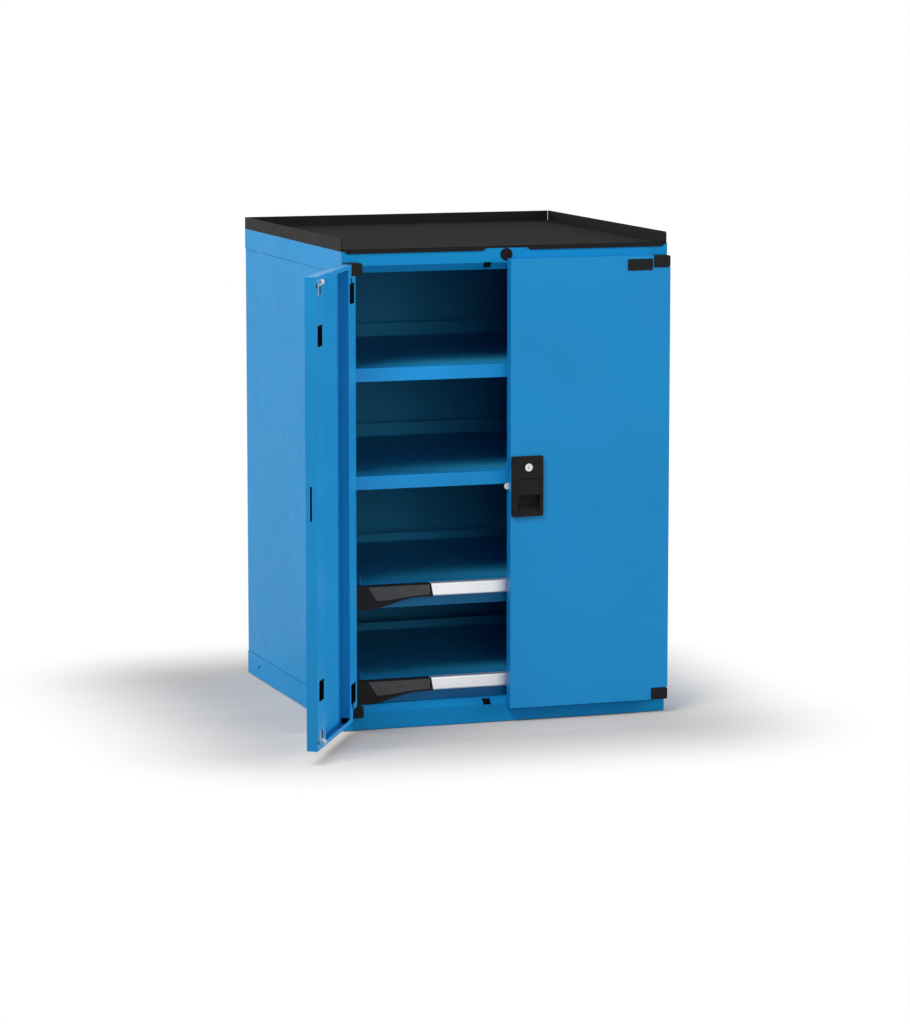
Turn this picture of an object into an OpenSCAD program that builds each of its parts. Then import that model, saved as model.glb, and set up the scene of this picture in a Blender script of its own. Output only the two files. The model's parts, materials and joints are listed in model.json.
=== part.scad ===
// Tool cabinet with two doors, two fixed shelves, two pull-out shelves and a
// tray on top. Millimetres, +Z up. Pieces are drawn with X from the left side
// of the frame, Y from its front and Z from the floor, and placed() moves them
// so that the origin is the middle of the footprint. Door pieces are drawn as
// a closed left door; the left door is shown open.

/* [Cabinet] */
// width of the frame
body_w = 717; // [560:1:1100]
// depth of the frame
body_d = 725; // [500:1:1000]
// height of the floor of the top tray
body_h = 1000; // [860:1:1500]

/* [Frame] */
// sheet of rails, posts and base
frame_t = 2; // [1.2:0.1:3]
// sheet of side, back and bottom panels
panel_t = 1.2; // [0.8:0.1:2]
// how far the side panels lie behind the bands above and below them
band_step = 1; // [0.5:0.1:1.5]
// gap between the side panels and those bands
panel_gap = 0.8; // [0.3:0.1:1.5]
// height of the base band
plinth_h = 49; // [45:0.5:80]
// height of the upright face of the base rail
plinth_face_h = 37.6; // [32:0.1:44]
// height of the sill behind the sloped strip
sill_h = 50.6; // [50.4:0.1:82]
// height of the top band
top_band_h = 44.6; // [40:0.1:70]
// height of the upright face of the top rail
top_face_h = 29.6; // [28:0.1:36]
// depth of the sloped strips
slope_d = 13; // [10:0.5:16]
// depth of the front rails
rail_d = 28; // [24:0.5:36]
// width of the turned-in edges of base and top
flange_w = 20; // [12:0.5:30]
// width of the ledges that carry the panels
ledge_w = 15; // [10:0.5:20]
// width of the front posts
post_w = 30; // [28:0.5:45]
// depth of the front posts
post_d = 40; // [36:0.5:60]
// width of the side panels' rear returns
return_w = 24; // [12:0.5:40]
// radius of the small hole in each side of the base
side_hole_r = 2.5; // [1:0.1:4]
// height of that hole
side_hole_z = 26; // [15:0.5:35]
// distance of that hole from the back
side_hole_back = 87; // [80:1:150]

/* [Feet] */
// radius of the foot discs
foot_r = 18; // [12:0.5:20]
// thickness of the foot discs
foot_t = 6; // [4:0.5:10]
// radius of the foot stems
stem_r = 5; // [3:0.5:6]
// distance of the feet from the outer faces
foot_in = 50; // [42:1:80]
// height of the brackets that hold the feet
bracket_z = 28; // [20:0.5:30]
// width of those brackets past the stems
bracket_over = 22; // [14:0.5:30]
// radius over the corners of the nuts
nut_r = 9; // [7:0.5:10]
// height of the nuts
nut_h = 5; // [3:0.5:7]

/* [Top tray] */
// thickness of the tray floor
tray_floor_t = 2; // [1.5:0.1:3]
// height of the rim above the tray floor
rim_h = 23.4; // [12:0.1:40]
// thickness of the rim
rim_t = 2.5; // [1.5:0.1:6]
// open corner between the rear rim and the side rims
rim_gap = 1.5; // [0.5:0.1:4]
// how far the side rims stay behind the front
rim_setback = 4; // [0:0.5:20]
// slope at the front ends of the side rims
rim_slope = 4; // [1:0.5:8]
// drop of the front lip over the rail
lip_drop = 6.6; // [4:0.1:10]
// thickness of the front lip
lip_t = 2; // [1.5:0.1:3]
// distance of the lip's ends from the sides
lip_side = 5; // [2:0.5:12]
// width of the gap in the lip, at its top
lip_gap = 88; // [60:1:140]
// slope of the lip's ends
lip_slope = 8; // [2:0.5:12]
// thickness of the mat
mat_t = 2; // [1:0.5:6]
// gap between the mat and the rims
mat_gap = 1; // [0.5:0.5:6]
// corner radius of the mat
mat_r = 4; // [2:0.5:20]
// radius of the plug's head
plug_r = 13.2; // [10:0.1:14]
// height of the plug's head, which the closed doors reach over
plug_t = 1.2; // [0.8:0.1:1.3]
// radius of the plug's body
plug_body_r = 9; // [6:0.1:10]
// length of the plug's body
plug_body_l = 6; // [4:0.5:12]
// distance of the plug below the tray floor
plug_drop = 15.3; // [15:0.1:18]

/* [Rack] */
// sheet of the rack rails
rack_t = 1.2; // [1:0.1:2]
// width of the rack rails
rack_w = 30; // [24:0.5:40]
// distance of the rear rack rails from the back
rack_back = 55; // [40:1:90]
// height of the first slot
slot_z0 = 79; // [70:0.5:110]
// distance from slot to slot
slot_pitch = 25; // [20:0.5:50]
// width of the slots
slot_w = 5; // [4:0.1:8]
// height of the slots
slot_h = 15; // [12:0.5:18]
// slot that the upper fixed shelf hangs at
shelf_upper_slot = 27; // [21:1:30]
// slot that the lower fixed shelf hangs at
shelf_lower_slot = 18; // [13:1:20]
// slot that the upper pull-out shelf hangs at
pull_upper_slot = 9; // [5:1:11]
// slot that the lower pull-out shelf hangs at
pull_lower_slot = 1; // [1:1:3]

/* [Fixed shelves] */
// sheet of all shelves
shelf_t = 1.2; // [0.8:0.1:2]
// gap between the shelves and the posts
shelf_gap = 1; // [0.8:0.1:2]
// distance of the fixed shelves from the front
shelf_front = 25; // [12:1:60]
// depth of the fixed shelves
shelf_d = 655; // [500:1:900]
// drop of the front and side flanges
shelf_drop = 27.8; // [20:0.1:32]
// rise of the rear upstand
shelf_rise = 28.7; // [10:0.1:50]
// depth of the hem under the front flange
hem_d = 12; // [6:0.5:20]
// width of the shelf hooks
hook_w = 16; // [12:0.5:24]
// reach of the shelf hooks under the flange
hook_reach = 10; // [6:0.5:16]
// thickness of the shelf hooks' ledges
hook_t = 2; // [1.5:0.1:3]

/* [Pull-out shelves] */
// room on each side for the slides
slide_room = 17; // [13:0.5:18]
// distance of the floors below the slots that the shelves hang at
pull_below = 3.3; // [0:0.1:3.5]
// drop of the front below the floor
pull_drop = 50; // [40:0.5:50]
// height of the side and rear rims
pull_rise = 17; // [8:0.5:30]
// depth of the pull-out shelves
pull_d = 577; // [400:1:620]
// distance of the handle bar from the front
bar_front = 10; // [8:0.5:20]
// depth of the handle bar
bar_d = 18; // [14:0.5:24]
// height of the handle bar
bar_h = 27.7; // [22:0.1:36]
// drop of the bar's top below the shelf floor
bar_drop = 0.4; // [0:0.1:8]
// wall of the handle bar
bar_t = 2; // [1.2:0.1:3]
// radius of the bar's front edges
bar_r = 4; // [2.5:0.1:6]
// length of the left cap
cap_l = 170.4; // [160:0.1:220]
// slant of the seam between the left cap and the bar
seam_slant = 4.9; // [0:0.1:5]
// radius of the cap's upper corner at the seam
cap_r = 3; // [1:0.1:4]
// drop of the left cap below the bar
cap_drop = 21.4; // [8:0.1:21.4]
// length of the straight part under the cap
cap_flat = 24.5; // [20:0.5:32]
// length of the curve from the cap to the bar
cap_curve = 116; // [60:1:120]
// chamfer of the cap's outer corner
cap_chamfer = 4; // [1:0.5:8]
// length of the right cap
cap_right_l = 26; // [16:1:40]
// slope of the right cap's end
cap_right_slope = 8; // [2:0.5:12]
// thickness of the release lever
lever_t = 5; // [4:0.1:7]
// border of the cap round the lever
lever_border = 2.5; // [2.2:0.1:3]
// gap round the lever
lever_gap = 0.4; // [0.3:0.05:0.6]
// distance of the lever's upper left corner from the cap's end
lever_in = 27.5; // [20:0.5:32]
// slant of the lever's left end
lever_slant = 19.5; // [8:0.5:24]
// drop of the lever below the bar's edge
lever_drop = 4.3; // [3:0.1:12]
// rise of the lever's right end above the bar's edge
lever_rise = 3.8; // [2.6:0.1:5]
// distance of the lever's pivot from the cap's right end
lever_end = 9; // [8.8:0.1:16]
// radius of the lever's pivots
lever_pin_r = 1.5; // [1:0.1:2]
// length of the lever's pivots
lever_pin_l = 1.6; // [1:0.1:1.6]
// free depth behind the lever
lever_travel = 7.5; // [7.2:0.1:8]

/* [Slides] */
// sheet of the slide members
slide_t = 1.2; // [1:0.1:1.5]
// height of the outer slide member
slide_h = 45; // [35:0.5:45]
// reach of the slide members' flanges
slide_reach = 9; // [8:0.5:12]
// step from one member to the next
slide_step = 3; // [2.5:0.1:4]
// gap between the members
slide_gap = 0.1; // [0.05:0.01:0.2]
// distance of the slides' front ends from the front
slide_front = 46; // [42:1:60]
// length of the slide members
slide_l = 600; // [450:1:640]
// drop of the slides' middle below the shelf floor
slide_drop = 25; // [24.5:0.1:26]

/* [Doors] */
// sheet of the doors
door_t = 1.2; // [0.8:0.1:1.6]
// thickness of a door
door_d = 22.5; // [20:0.1:30]
// gap behind a closed door
door_back_gap = 1.5; // [1:0.1:3]
// gap beside a closed door
door_side_gap = 1.5; // [1:0.1:2]
// gap between the doors
door_mid_gap = 3; // [2:0.1:5]
// height of the doors' lower edges
door_z0 = 30; // [20:0.5:32]
// distance of the doors' upper edges below the tray floor
door_drop = 24; // [22:0.5:28]
// angle at which the left door is shown
door_open = 120; // [0:1:180]
// height of the lips turned in along the doors' upper and lower edges
door_lip = 9; // [4:0.1:12]
// width of the hinge side channel
hinge_channel_w = 65.5; // [55:0.5:90]
// width of the free side channel
lock_channel_w = 71; // [65:0.5:100]
// width of the channels' foot strips
channel_foot = 10; // [6:0.5:16]
// side of the square openings in the channels
window_w = 42; // [20:0.5:44]
// distance of the hinge side windows from the door's ends
hinge_window_in = 59; // [58:0.5:120]
// distance of the free side windows from the door's ends
lock_window_in = 118.5; // [80:0.5:200]
// radius of the windows' corners
window_r = 2; // [0.5:0.1:4]
// size of the small holes by the hinges
small_hole = 11; // [4:0.5:12]
// height of the openings at the ends of the hinge channels
end_hole = 11.5; // [6:0.5:30]

/* [Hinges] */
// distance of the hinge pins from the sides
pin_in = 6; // [5.6:0.1:8]
// distance of the hinge pins in front of the frame
pin_out = 18.5; // [18:0.1:20]
// radius of the hinge pins
pin_r = 2.5; // [2:0.1:2.6]
// running gap round pins and axles
run_gap = 0.05; // [0.02:0.01:0.1]
// length of the pins in the doors
pin_in_door = 20; // [12:0.5:24]
// length of the pins in the blocks
pin_in_block = 14; // [10:0.5:16]
// distance of the hinge blocks' inner ends from the sides
block_w = 37; // [30:0.5:50]
// height of the hinge blocks
block_h = 24.6; // [20:0.1:26]
// depth of the hinge blocks
block_d = 26; // [25.5:0.5:30]
// distance of the hinge blocks from the frame's sides
block_in = 2.4; // [1.5:0.1:2.4]
// radius of the blocks' corners
block_r = 3.5; // [1:0.1:5]
// gap beside the hinge blocks
block_side_gap = 1.5; // [1.2:0.1:3]
// gap below the upper hinge blocks
block_end_gap = 0.5; // [0.3:0.1:1]
// width of the bushes in the doors
bush_w = 11.3; // [9:0.1:16]
// depth of the bushes in the doors
bush_d = 12.8; // [10:0.1:18]
// length of the bushes
bush_l = 24; // [22:0.5:40]
// radius of the hinge block screws
screw_r = 2; // [1.5:0.1:2.5]
// radius of the screws' heads
screw_head_r = 3.5; // [3:0.1:4]
// height of the screws' heads
screw_head_t = 2.5; // [1.5:0.1:3]
// depth of the screws in the blocks
screw_l = 12; // [8:0.5:20]
// distance of the first screw from the side
screw_in = 14; // [12:0.5:16]
// distance from one screw to the next
screw_step = 9; // [8:0.5:12]

/* [Catches] */
// distance of the catches from the door's free edge
catch_in = 39.5; // [32:0.5:45]
// radius of the catch rollers
roller_r = 5.2; // [4:0.1:5.4]
// length of the catch rollers
roller_l = 8.2; // [5:0.1:9]
// distance of the rollers' middle behind the frame's front
roller_in = 1; // [0:0.1:1.5]
// distance of the rollers below the doors' upper edges
roller_drop = 12.2; // [12:0.1:13]
// radius of the rollers' axles
axle_r = 1.5; // [1:0.1:2]
// sheet of the catch springs
spring_t = 1; // [0.6:0.1:1.2]
// gap beside the rollers
roller_gap = 0.4; // [0.3:0.1:0.8]
// height of the catch springs' tails
spring_tail = 19; // [12:0.5:30]
// height of the ears beside the rollers
ear_h = 13; // [11:0.5:13]
// reach of the ears behind the frame's front
ear_in = 3.6; // [3:0.1:4]
// width of the keeper holes
keeper_w = 17; // [15:0.5:20]
// gap above and below the rollers in the keeper holes
keeper_gap = 0.4; // [0.3:0.1:1]
// lower part of the keeper holes below the rollers
keeper_low = 1.2; // [0.8:0.1:2]

/* [Lock] */
// height of the hook's pivot
lock_z = 501; // [400:1:620]
// distance of the housing from the door's free edge
housing_in = 1.5; // [1:0.1:4]
// width of the lock housing
housing_w = 68.9; // [64:0.1:69]
// height of the lock housing below the pivot
housing_low = 63.7; // [60:0.1:80]
// height of the lock housing above the pivot
housing_high = 63.3; // [60:0.1:80]
// how far the housing stands out of the door
housing_out = 7; // [6.8:0.1:9]
// radius of the housing's corners
housing_r = 4; // [1:0.1:6]
// wall of the housing's pocket
pocket_t = 1.5; // [1.2:0.1:2]
// distance of the paddle from the housing's edge
paddle_in = 13; // [10:0.1:14]
// width of the paddle
paddle_w = 47.8; // [40:0.1:48]
// gap beside the paddle
paddle_gap = 0.5; // [0.3:0.1:0.8]
// lower edge of the paddle below the pivot
paddle_low = 18.4; // [17:0.1:26]
// upper edge of the paddle above the pivot
paddle_high = 15.6; // [14:0.1:17]
// thickness of the paddle at its hinge
paddle_t = 6; // [5.6:0.1:7]
// thickness of the paddle's blade
blade_t = 3; // [2:0.1:4]
// radius of the paddle's pin
paddle_pin_r = 1.5; // [1:0.1:2]
// length of the pin in each side of the housing
paddle_pin_l = 3; // [2:0.5:4]
// lower edge of the finger pocket below the pivot
pocket_low = 55.9; // [50:0.1:58]
// rise of the pocket's sloped floor
pocket_slope = 15.5; // [6:0.5:24]
// depth of the pocket behind the housing's face
pocket_d = 14; // [12.5:0.1:14.2]
// distance of the key from the door's free edge
key_in = 38; // [34:0.1:42]
// height of the key above the pivot
key_up = 39.6; // [37:0.1:42]
// radius of the key barrel
key_r = 8.3; // [6:0.1:8.6]
// radius of the ring round the key barrel
key_ring_r = 11; // [10:0.1:12]
// length of the key barrel
key_l = 14.5; // [10:0.1:15]
// how far the key barrel stands out
key_out = 0.5; // [0:0.1:1]
// width of the key slot
key_slot_w = 1.6; // [1:0.1:2.5]
// height of the key slot
key_slot_h = 8; // [5:0.5:10]
// depth of the key slot
key_slot_d = 8; // [4:0.5:10]
// distance of the hook's pivot from the door's free edge
hook_pivot_in = 52; // [50:0.5:54]
// reach of the hook past the door's free edge
hook_out = 10.4; // [9:0.1:12]
// radius of the hook's nose
nose_r = 7; // [4:0.1:7]
// radius of the hook round its pivot
hook_boss_r = 9; // [8:0.1:10]
// thickness of the hook
hook_plate_t = 3; // [2:0.1:3.2]
// distance of the hook's middle in front of the frame
hook_y = 13.1; // [13:0.1:13.3]
// radius of the hook's pivot pin
hook_pin_r = 3; // [2:0.1:4]
// width of the slots in the doors' free edges
edge_slot_w = 4; // [3.6:0.1:5]
// lower end of those slots below the pivot
edge_slot_low = 9; // [8.8:0.1:12]
// upper end of those slots above the pivot
edge_slot_high = 61; // [50:0.5:70]
// sheet of the lock case
case_t = 1.5; // [1:0.1:2]
// distance of the lock case from the door's free edge
case_in = 3; // [2:0.1:6]
// width of the lock case
case_w = 65; // [65:0.1:66]
// lower edge of the lock case below the pivot
case_low = 30; // [20:0.5:40]
// upper edge of the lock case above the pivot
case_high = 59; // [57:0.5:64]
// gap behind the hook
case_gap = 1; // [0.5:0.1:1.5]

/* [Hidden] */
$fn = 48;
cut = 1;

frame_top = body_h - tray_floor_t;
open_top = frame_top - top_band_h;
top_face_z = frame_top - top_face_h;
panel_in = band_step + panel_t;
floor_top = plinth_h + panel_t;
back_out = body_d - band_step - panel_t;

rack_rear = body_d - rack_back - rack_w;
rack_mid = [post_d + rack_w / 2, rack_rear + rack_w / 2];
slot_count = floor((open_top - slot_z0 - slot_h) / slot_pitch) + 1;
function slot_z(n) = slot_z0 + n * slot_pitch;
shelf_upper_z = slot_z(shelf_upper_slot);
shelf_lower_z = slot_z(shelf_lower_slot);
pull_upper_z = slot_z(pull_upper_slot) - pull_below;
pull_lower_z = slot_z(pull_lower_slot) - pull_below;
shelf_x = post_w + shelf_gap;
pull_x = post_w + slide_room;
pull_y = bar_front + bar_d;
cap_x = post_w + shelf_gap;
bar_x0 = cap_x + cap_l;
bar_x1 = body_w - cap_x - cap_right_l;
seam_angle = atan(seam_slant / bar_h);

door_in = -door_back_gap;
door_out = door_in - door_d;
skin_in = door_out + door_t;
door_x0 = door_side_gap;
door_x1 = (body_w - door_mid_gap) / 2;
door_z1 = body_h - door_drop;
notch_x = block_w + block_side_gap;
notch_z0 = door_z0 + block_h + block_end_gap;
notch_z1 = door_z1 - block_h - block_end_gap;
hinge_channel_x = door_x0 + hinge_channel_w;
lock_channel_x = door_x1 - lock_channel_w;
channel_z0 = door_z0 + door_t;
channel_z1 = door_z1 - door_t;
bush_top = notch_z1 - door_t;
block_bottom = door_z1 - block_h;
screw_x = [screw_in, screw_in + screw_step];
catch_x = door_x1 - catch_in;
roller_z = door_z1 - roller_drop;
ear_x = roller_l / 2 + roller_gap;

free_x = (body_w + door_mid_gap) / 2;
housing_x = free_x + housing_in;
face_y = door_out - housing_out;
pocket_x = housing_x + paddle_in - paddle_gap;
pocket_w = paddle_w + 2 * paddle_gap;
pocket_back = face_y + pocket_d;
paddle_r = paddle_t / 2;
paddle_y = face_y + paddle_r;
paddle_z = lock_z + paddle_high - paddle_r;
key_x = free_x + key_in;
key_z = lock_z + key_up;
hook_x = free_x + hook_pivot_in;
nose_x = free_x - hook_out + nose_r;
case_y = -hook_y + hook_plate_t / 2 + case_gap;

// ---- placing ----

module placed(shade) {
    translate([-body_w / 2, -body_d / 2, 0]) color(shade) children();
}

// a piece of the left door, turned open about its hinge pins
module on_left_door(shade) {
    placed(shade) translate([pin_in, -pin_out, 0]) rotate([0, 0, -door_open])
        translate([-pin_in, pin_out, 0]) children();
}

module mirrored() {
    translate([body_w, 0, 0]) mirror([1, 0, 0]) children();
}

module both_sides() {
    children();
    mirrored() children();
}

module each_corner() {
    for (x = [0, 1], y = [0, 1])
        translate([x * body_w, y * body_d, 0]) mirror([x, 0, 0]) mirror([0, y, 0])
            children();
}

// the same thing at the lower end of a door
module at_bottom() {
    translate([0, 0, door_z0 + door_z1]) mirror([0, 0, 1]) children();
}

module both_ends() {
    children();
    at_bottom() children();
}

// ---- forms ----

module box(from, to) {
    translate(from) cube(to - from);
}

module along_x(from, to) {
    translate([from, 0, 0]) rotate([90, 0, 90]) linear_extrude(to - from) children();
}

module along_y(from, to) {
    translate([0, to, 0]) rotate([90, 0, 0]) linear_extrude(to - from) children();
}

module along_z(from, to) {
    translate([0, 0, from]) linear_extrude(to - from) children();
}

function unit(v) = v / norm(v);
function left_of(v) = [-v.y, v.x];
// the other face of a sheet of thickness t, at the fold at point i
function fold_at(p, i, t) =
    let (last = len(p) - 1,
         before = left_of(unit(i > 0 ? p[i] - p[i - 1] : p[1] - p[0])),
         after = left_of(unit(i < last ? p[i + 1] - p[i] : p[last] - p[last - 1])))
    p[i] + (before + after) * t / (1 + before * after);
// outline of a sheet folded along the points, thick on their left, or on
// their right where t is negative
function folded(p, t) = concat(p, [for (i = [len(p) - 1:-1:0]) fold_at(p, i, t)]);

module rounded(from, to, r) {
    size = to - from;
    translate(from + [r, 0]) square(size - [2 * r, 0]);
    translate(from + [0, r]) square(size - [0, 2 * r]);
    for (x = [from.x + r, to.x - r], y = [from.y + r, to.y - r])
        translate([x, y]) circle(r);
}

// ---- frame ----

module screw_holes(r) {
    both_sides() both_ends() for (x = screw_x)
        translate([x, 0, block_bottom + block_h / 2]) rotate([90, 0, 0])
            cylinder(h = 4 * frame_t, r = r, center = true);
}

// the hole that a closed door's roller drops into
module keeper_hole() {
    box([catch_x - keeper_w / 2, -cut, roller_z - roller_r - keeper_low],
        [catch_x + keeper_w / 2, slope_d, roller_z + roller_r + keeper_gap]);
}

module base_ring() {
    along_x(post_w, body_w - post_w)
        polygon(folded([[flange_w, 0], [0, 0], [0, plinth_face_h],
                        [slope_d, sill_h], [rail_d, sill_h]], -frame_t));
    both_sides() along_x(0, post_w)
        polygon(folded([[flange_w, 0], [0, 0], [0, plinth_h], [post_d, plinth_h]],
                       -frame_t));
    both_sides() along_y(0, body_d)
        polygon(folded([[flange_w, 0], [0, 0], [0, plinth_h], [ledge_w, plinth_h]],
                       -frame_t));
    along_x(0, body_w)
        polygon(folded([[body_d - flange_w, 0], [body_d, 0], [body_d, plinth_h],
                        [body_d - ledge_w, plinth_h]], frame_t));
    each_corner() box([frame_t / 2, frame_t / 2, bracket_z],
                      [foot_in + bracket_over, foot_in + bracket_over,
                       bracket_z + frame_t]);
}

module base_frame() {
    placed("royalblue") difference() {
        base_ring();
        each_corner() translate([foot_in, foot_in, bracket_z - cut])
            cylinder(h = frame_t + 2 * cut, r = stem_r + run_gap);
        at_bottom() keeper_hole();
        screw_holes(screw_r + run_gap);
        both_sides() translate([0, body_d - side_hole_back, side_hole_z])
            rotate([0, 90, 0])
            cylinder(h = 4 * frame_t, r = side_hole_r, center = true);
    }
}

// disc, stem and the two nuts that hold the stem to its bracket
module levelling_feet() {
    placed("dimgray") each_corner() translate([foot_in, foot_in, 0]) {
        cylinder(h = foot_t, r = foot_r);
        cylinder(h = bracket_z + frame_t + nut_h + stem_r, r = stem_r);
        translate([0, 0, bracket_z - nut_h]) cylinder(h = nut_h, r = nut_r, $fn = 6);
        translate([0, 0, bracket_z + frame_t]) cylinder(h = nut_h, r = nut_r, $fn = 6);
    }
}

module bottom_panel() {
    placed("royalblue") along_z(plinth_h, floor_top) {
        translate([post_w, rail_d])
            square([body_w - 2 * post_w, back_out - rail_d]);
        translate([panel_in, post_d])
            square([body_w - 2 * panel_in, back_out - post_d]);
    }
}

module side_panel() {
    along_z(plinth_h + panel_gap, open_top - panel_gap)
        polygon(folded([[band_step, frame_t], [band_step, body_d - band_step],
                        [return_w, body_d - band_step]], -panel_t));
}

module left_side_panel() {
    placed("steelblue") side_panel();
}

module right_side_panel() {
    placed("steelblue") mirrored() side_panel();
}

module back_panel() {
    placed("steelblue")
        box([panel_in, back_out - panel_t, floor_top],
            [body_w - panel_in, back_out, open_top]);
}

module front_post() {
    along_z(plinth_h, open_top) difference() {
        union() {
            translate([panel_in, 0]) square([post_w - panel_in, post_d]);
            translate([band_step, 0]) square([post_w - band_step, frame_t]);
        }
        translate([panel_in + frame_t, frame_t])
            square([post_w - panel_in - 2 * frame_t, post_d - 2 * frame_t]);
    }
}

module left_front_post() {
    placed("royalblue") front_post();
}

module right_front_post() {
    placed("royalblue") mirrored() front_post();
}

module top_ring() {
    along_x(post_w, body_w - post_w)
        polygon(folded([[flange_w, frame_top], [0, frame_top], [0, top_face_z],
                        [slope_d, open_top], [rail_d, open_top]], frame_t));
    both_sides() along_x(0, post_w)
        polygon(folded([[flange_w, frame_top], [0, frame_top], [0, open_top],
                        [post_d, open_top]], frame_t));
    both_sides() along_y(0, body_d)
        polygon(folded([[flange_w, frame_top], [0, frame_top], [0, open_top],
                        [ledge_w, open_top]], frame_t));
    along_x(0, body_w)
        polygon(folded([[body_d - flange_w, frame_top], [body_d, frame_top],
                        [body_d, open_top], [body_d - ledge_w, open_top]], -frame_t));
}

module top_frame() {
    placed("royalblue") difference() {
        top_ring();
        keeper_hole();
        screw_holes(screw_r + run_gap);
        translate([body_w / 2, 0, body_h - plug_drop]) rotate([90, 0, 0])
            cylinder(h = 4 * frame_t, r = plug_body_r + run_gap, center = true);
    }
}

module top_panel() {
    placed("steelblue")
        box([frame_t, frame_t, frame_top - frame_t - panel_t],
            [body_w - frame_t, body_d - frame_t, frame_top - frame_t]);
}

// ---- top tray ----

module lip_outline() {
    low = body_h - lip_drop;
    end = (body_w - lip_gap) / 2;
    polygon([[lip_side, body_h], [lip_side + lip_drop, low], [end - lip_slope, low],
             [end, body_h]]);
}

module top_tray() {
    rim_top = body_h + rim_h;
    corner = rim_t + rim_gap;
    placed("dimgray") {
        box([0, 0, frame_top], [body_w, body_d, body_h]);
        both_sides() along_x(0, rim_t)
            polygon([[rim_setback, frame_top], [rim_setback, rim_top - rim_slope],
                     [rim_setback + rim_slope, rim_top], [body_d, rim_top],
                     [body_d, frame_top]]);
        box([corner, body_d - rim_t, frame_top], [body_w - corner, body_d, rim_top]);
        both_sides() {
            along_y(-lip_t, 0) lip_outline();
            // the fold where the lip leaves the floor
            along_y(-lip_t, frame_t) intersection() {
                lip_outline();
                translate([0, frame_top]) square([body_w, tray_floor_t]);
            }
        }
    }
}

module tray_mat() {
    edge = rim_t + mat_gap;
    placed("darkslategray") along_z(body_h, body_h + mat_t)
        rounded([edge, rim_setback], [body_w - edge, body_d - edge], mat_r);
}

module lock_hole_plug() {
    placed("dimgray") translate([body_w / 2, 0, body_h - plug_drop])
        rotate([90, 0, 0]) rotate_extrude()
        polygon([[0, -plug_body_l], [plug_body_r, -plug_body_l], [plug_body_r, 0],
                 [plug_r, 0], [plug_r, plug_t / 3], [plug_r - plug_t / 2, plug_t],
                 [0, plug_t]]);
}

// ---- inside ----

module rack_rail() {
    difference() {
        along_z(floor_top, open_top)
            polygon(folded([[panel_in, post_d], [post_w, post_d],
                            [post_w, post_d + rack_w], [panel_in, post_d + rack_w]],
                           rack_t));
        for (n = [0:slot_count - 1])
            translate([post_w, rack_mid[0], slot_z(n)])
                cube([4 * rack_t, slot_w, slot_h], center = true);
    }
}

module rack_rails() {
    placed("lightgray") both_sides() {
        rack_rail();
        translate([0, rack_mid[1] - rack_mid[0], 0]) rack_rail();
    }
}

// a shelf or tray of one sheet: front dropped, back raised, both sides walled
module shelf_sheet(x, y0, y1, z, drop, rise, side_top) {
    along_x(x, body_w - x)
        polygon(folded([[y0 + hem_d, z - drop], [y0, z - drop], [y0, z], [y1, z],
                        [y1, z + rise]], -shelf_t));
    both_sides() box([x, y0, z - drop], [x + shelf_t, y1 + shelf_t, side_top]);
}

module fixed_shelf(z) {
    shelf_sheet(shelf_x, shelf_front, shelf_front + shelf_d, z, shelf_drop,
                shelf_rise, z);
}

module shelf_upper() {
    placed("steelblue") fixed_shelf(shelf_upper_z);
}

module shelf_lower() {
    placed("steelblue") fixed_shelf(shelf_lower_z);
}

// hangs in a slot of a rack rail and carries a shelf's side flange
module shelf_hook(y, z) {
    slot = z - slot_pitch;
    low = z - shelf_drop - hook_t;
    tab = slot_w / 2 - cut / 2;
    inner = post_w - rack_t;
    box([post_w, y - hook_w / 2, low - hook_t], [shelf_x, y + hook_w / 2, slot + slot_h]);
    box([post_w, y - hook_w / 2, low], [shelf_x + hook_reach, y + hook_w / 2, low + hook_t]);
    box([inner - hook_t, y - tab, slot - slot_h / 4],
        [post_w + shelf_gap, y + tab, slot + slot_h / 4]);
    box([inner - hook_t, y - tab, slot - slot_h / 2 - hook_t],
        [inner, y + tab, slot + slot_h / 4]);
}

module shelf_hooks() {
    placed("lightgray") both_sides()
        for (y = rack_mid, z = [shelf_upper_z, shelf_lower_z]) shelf_hook(y, z);
}

// one member of a slide: a channel, open towards the shelf
module slide_channel(x, half, z) {
    polygon(folded([[x + slide_reach, z + half], [x, z + half],
                    [x, z - half], [x + slide_reach, z - half]], slide_t));
}

slide_half = slide_h / 2;
slide_less = slide_t + slide_gap;

module slide_outer(z) {
    both_sides() along_y(slide_front, slide_front + slide_l)
        slide_channel(post_w, slide_half, z - slide_drop);
}

module slide_outer_upper() {
    placed("silver") slide_outer(pull_upper_z);
}

module slide_outer_lower() {
    placed("silver") slide_outer(pull_lower_z);
}

module slide_middle(z) {
    both_sides() along_y(slide_front, slide_front + slide_l)
        slide_channel(post_w + slide_step, slide_half - slide_less, z - slide_drop);
}

// the last member is turned round, its back against the shelf
module slide_inner(z) {
    half = slide_half - 2 * slide_less;
    both_sides() along_y(pull_y + frame_t, pull_y + pull_d)
        polygon(folded([[pull_x - slide_reach, z - slide_drop - half],
                        [pull_x, z - slide_drop - half],
                        [pull_x, z - slide_drop + half],
                        [pull_x - slide_reach, z - slide_drop + half]], slide_t));
}

// ---- pull-out shelves ----

module pullout_tray(z) {
    shelf_sheet(pull_x, pull_y, pull_y + pull_d, z, pull_drop, pull_rise, z + pull_rise);
}

function bar_z1(z) = z - bar_drop;
function bar_z0(z) = z - bar_drop - bar_h;

module bar_section(z, inset) {
    from = [bar_front + inset, bar_z0(z) + inset];
    to = [bar_front + bar_d - inset, bar_z1(z) - inset];
    rounded(from, to, bar_r - inset);
    translate([from.x + bar_r, from.y]) square(to - from - [bar_r, 0]);
}

// distance of the cap's seam from the side, at a height
function seam_x(z, height) = bar_x0 - (height - bar_z0(z)) * tan(seam_angle);

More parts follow.
